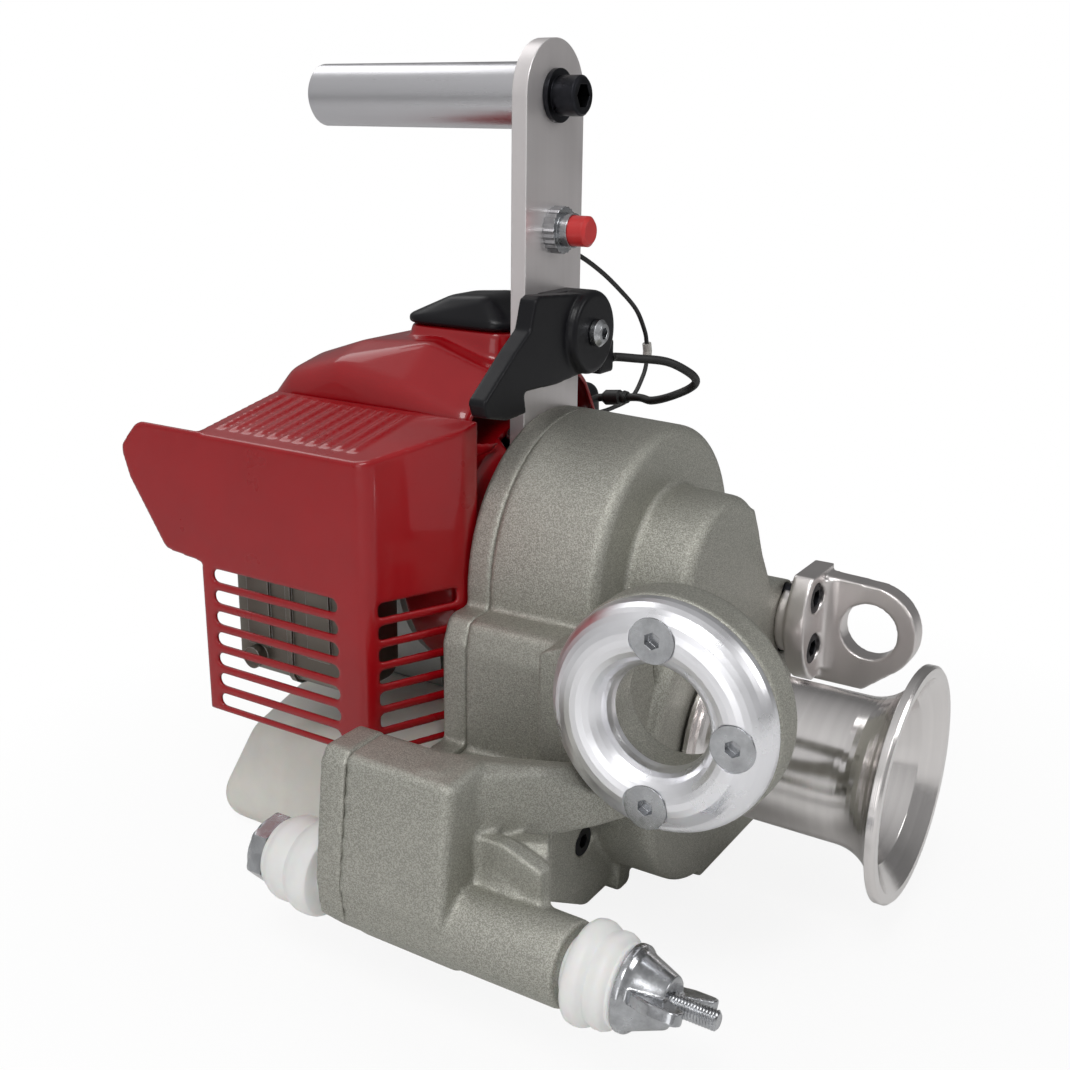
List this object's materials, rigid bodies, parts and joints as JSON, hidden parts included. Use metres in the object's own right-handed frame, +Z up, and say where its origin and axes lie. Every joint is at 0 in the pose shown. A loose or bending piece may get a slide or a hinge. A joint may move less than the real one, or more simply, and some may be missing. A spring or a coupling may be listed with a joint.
{
  "type": "capstan winch",
  "caption": "Portable petrol capstan winch: turned rope drum on a cast gearbox, ring fairlead, anchor eye, clamp bolt foot, carrying handle with throttle and stop button",
  "frame": {"origin": "On the flat bottom face of the gear housing, in the vertical plane through the drum axis, mid-length of the housing", "axes": "+Z up; +X sideways towards the anchor eye; +Y rearwards to the engine, so the drum's nose points along -Y"},
  "size_m": [0.3155, 0.368, 0.395],
  "materials": {
    "cast_aluminium": "warm grey sand-cast grain, lightly blasted",
    "polished_aluminium": "polished ring and drum, fine turning marks",
    "brushed_aluminium": "brushed plate, grip and bracket",
    "zinc_steel": "bright zinc plated fasteners",
    "gear_steel": "machined gear and shaft steel",
    "black_steel": "black oxide screws",
    "muffler_steel": "pressed muffler steel, heat dulled",
    "engine_alloy": "die-cast engine alloy",
    "red_plastic": "glossy deep red engine covers",
    "red_button": "bright red button cap",
    "black_plastic": "satin black moulded plastic",
    "white_nylon": "white turned nylon",
    "tank_plastic": "milky blow-moulded tank",
    "black_rubber": "cable sheath, seals and boots",
    "clear_plastic": "milky clear connector sleeve",
    "amber_plastic": "soft clear primer bulb"
  },
  "bodies": {
    "root": {"housing": "cast_aluminium", "rear_plate": "cast_aluminium", "case_screws": "zinc_steel", "oil_plug": "black_steel", "ring_gear": "gear_steel", "bearing_plate": "cast_aluminium", "ball_bearings": "gear_steel", "drum_seal": "black_rubber", "fairlead_ring": "polished_aluminium", "fairlead_screws": "zinc_steel", "anchor_bracket": "brushed_aluminium", "anchor_screws": "black_steel", "clamp_bolt": "zinc_steel", "rear_bush": "white_nylon", "front_bush": "white_nylon", "handle_plate": "brushed_aluminium", "handle_grip": "brushed_aluminium", "grip_screw": "black_steel", "stop_switch": "zinc_steel", "stop_wire": "black_rubber", "wire_sleeve": "clear_plastic", "throttle_body": "black_plastic", "throttle_screw": "zinc_steel", "throttle_cable": "black_rubber", "cable_boot": "black_rubber", "fan_housing": "red_plastic", "crankcase": "engine_alloy", "cylinder": "engine_alloy", "spark_plug": "black_rubber", "muffler": "muffler_steel", "muffler_cover": "red_plastic", "top_shroud": "red_plastic", "plug_cover": "black_plastic", "fuel_tank": "tank_plastic", "carburettor": "engine_alloy", "air_cleaner": "black_plastic", "starter_housing": "black_plastic"},
    "capstan": {"drum": "polished_aluminium", "drum_shaft": "gear_steel", "drum_gear": "gear_steel", "drum_screw": "zinc_steel"},
    "carrier": {"planet_carrier": "gear_steel", "pinion": "gear_steel"},
    "planet_a": {"planet_1": "gear_steel"},
    "planet_b": {"planet_2": "gear_steel"},
    "planet_c": {"planet_3": "gear_steel"},
    "sun": {"sun_gear": "gear_steel", "clutch_drum": "gear_steel"},
    "crank": {"crankshaft": "gear_steel", "clutch_rotor": "gear_steel", "clutch_shoes": "gear_steel", "flywheel": "engine_alloy"},
    "recoil_spool": {"starter_pulley": "black_plastic"},
    "starter_grip": {"starter_handle": "black_plastic"},
    "throttle_arm": {"throttle_lever": "black_plastic"},
    "stop_cap": {"stop_button": "red_button"},
    "clamp_nut": {"wing_nut": "zinc_steel"},
    "tank_cap": {"fuel_cap": "black_plastic"},
    "choke_arm": {"choke_lever": "black_plastic"},
    "primer": {"primer_bulb": "amber_plastic"}
  },
  "joints": [
    {"name": "drum_spin", "type": "hinge", "parent": "root", "child": "capstan", "pos_m": [0, -0.05, 0.075], "axis": [0, 1, 0], "continuous": true},
    {"name": "carrier_spin", "type": "hinge", "parent": "root", "child": "carrier", "pos_m": [0, 0, 0.151], "axis": [0, 1, 0], "continuous": true},
    {"name": "planet_a_spin", "type": "hinge", "parent": "carrier", "child": "planet_a", "pos_m": [0, 0, 0.1885], "axis": [0, 1, 0], "continuous": true},
    {"name": "planet_b_spin", "type": "hinge", "parent": "carrier", "child": "planet_b", "pos_m": [-0.03248, 0, 0.13225], "axis": [0, 1, 0], "continuous": true},
    {"name": "planet_c_spin", "type": "hinge", "parent": "carrier", "child": "planet_c", "pos_m": [0.03248, 0, 0.13225], "axis": [0, 1, 0], "continuous": true},
    {"name": "sun_spin", "type": "hinge", "parent": "root", "child": "sun", "pos_m": [0, 0.02, 0.151], "axis": [0, 1, 0], "continuous": true},
    {"name": "crank_spin", "type": "hinge", "parent": "root", "child": "crank", "pos_m": [0, 0.1, 0.151], "axis": [0, 1, 0], "continuous": true},
    {"name": "starter_pull", "type": "slide", "parent": "root", "child": "starter_grip", "axis": [1, 0, 0], "range_m": [0, 0.1], "stiffness_N_per_m": 60},
    {"name": "spool_spin", "type": "hinge", "parent": "root", "child": "recoil_spool", "pos_m": [0, 0.165, 0.151], "axis": [0, 1, 0], "range_deg": [0, 230]},
    {"name": "throttle", "type": "hinge", "parent": "root", "child": "throttle_arm", "pos_m": [0.003, 0.034, 0.263], "axis": [0, 1, 0], "range_deg": [0, 40]},
    {"name": "stop_push", "type": "slide", "parent": "root", "child": "stop_cap", "axis": [0, 1, 0], "range_m": [0, 0.003], "stiffness_N_per_m": 800},
    {"name": "wing_nut_spin", "type": "hinge", "parent": "root", "child": "clamp_nut", "pos_m": [-0.165, -0.1, 0.048], "axis": [0, 1, 0], "continuous": true},
    {"name": "fuel_cap_turn", "type": "hinge", "parent": "root", "child": "tank_cap", "pos_m": [0.07, 0.13, 0.044], "axis": [1, 0, 0], "continuous": true},
    {"name": "choke", "type": "hinge", "parent": "root", "child": "choke_arm", "pos_m": [0.1, 0.158, 0.196], "axis": [0, 1, 0], "range_deg": [0, 60]},
    {"name": "primer_push", "type": "slide", "parent": "root", "child": "primer", "axis": [0, -1, 0], "range_m": [0, 0.004], "stiffness_N_per_m": 500}
  ],
  "couplings": [
    {"joint": "carrier_spin", "follows": "drum_spin", "ratio": -5.3333},
    {"joint": "sun_spin", "follows": "drum_spin", "ratio": -26.667},
    {"joint": "planet_a_spin", "follows": "drum_spin", "ratio": 14.222},
    {"joint": "planet_b_spin", "follows": "drum_spin", "ratio": 14.222},
    {"joint": "planet_c_spin", "follows": "drum_spin", "ratio": 14.222},
    {"joint": "spool_spin", "follows": "starter_pull", "rad_per_m": 40}
  ]
}
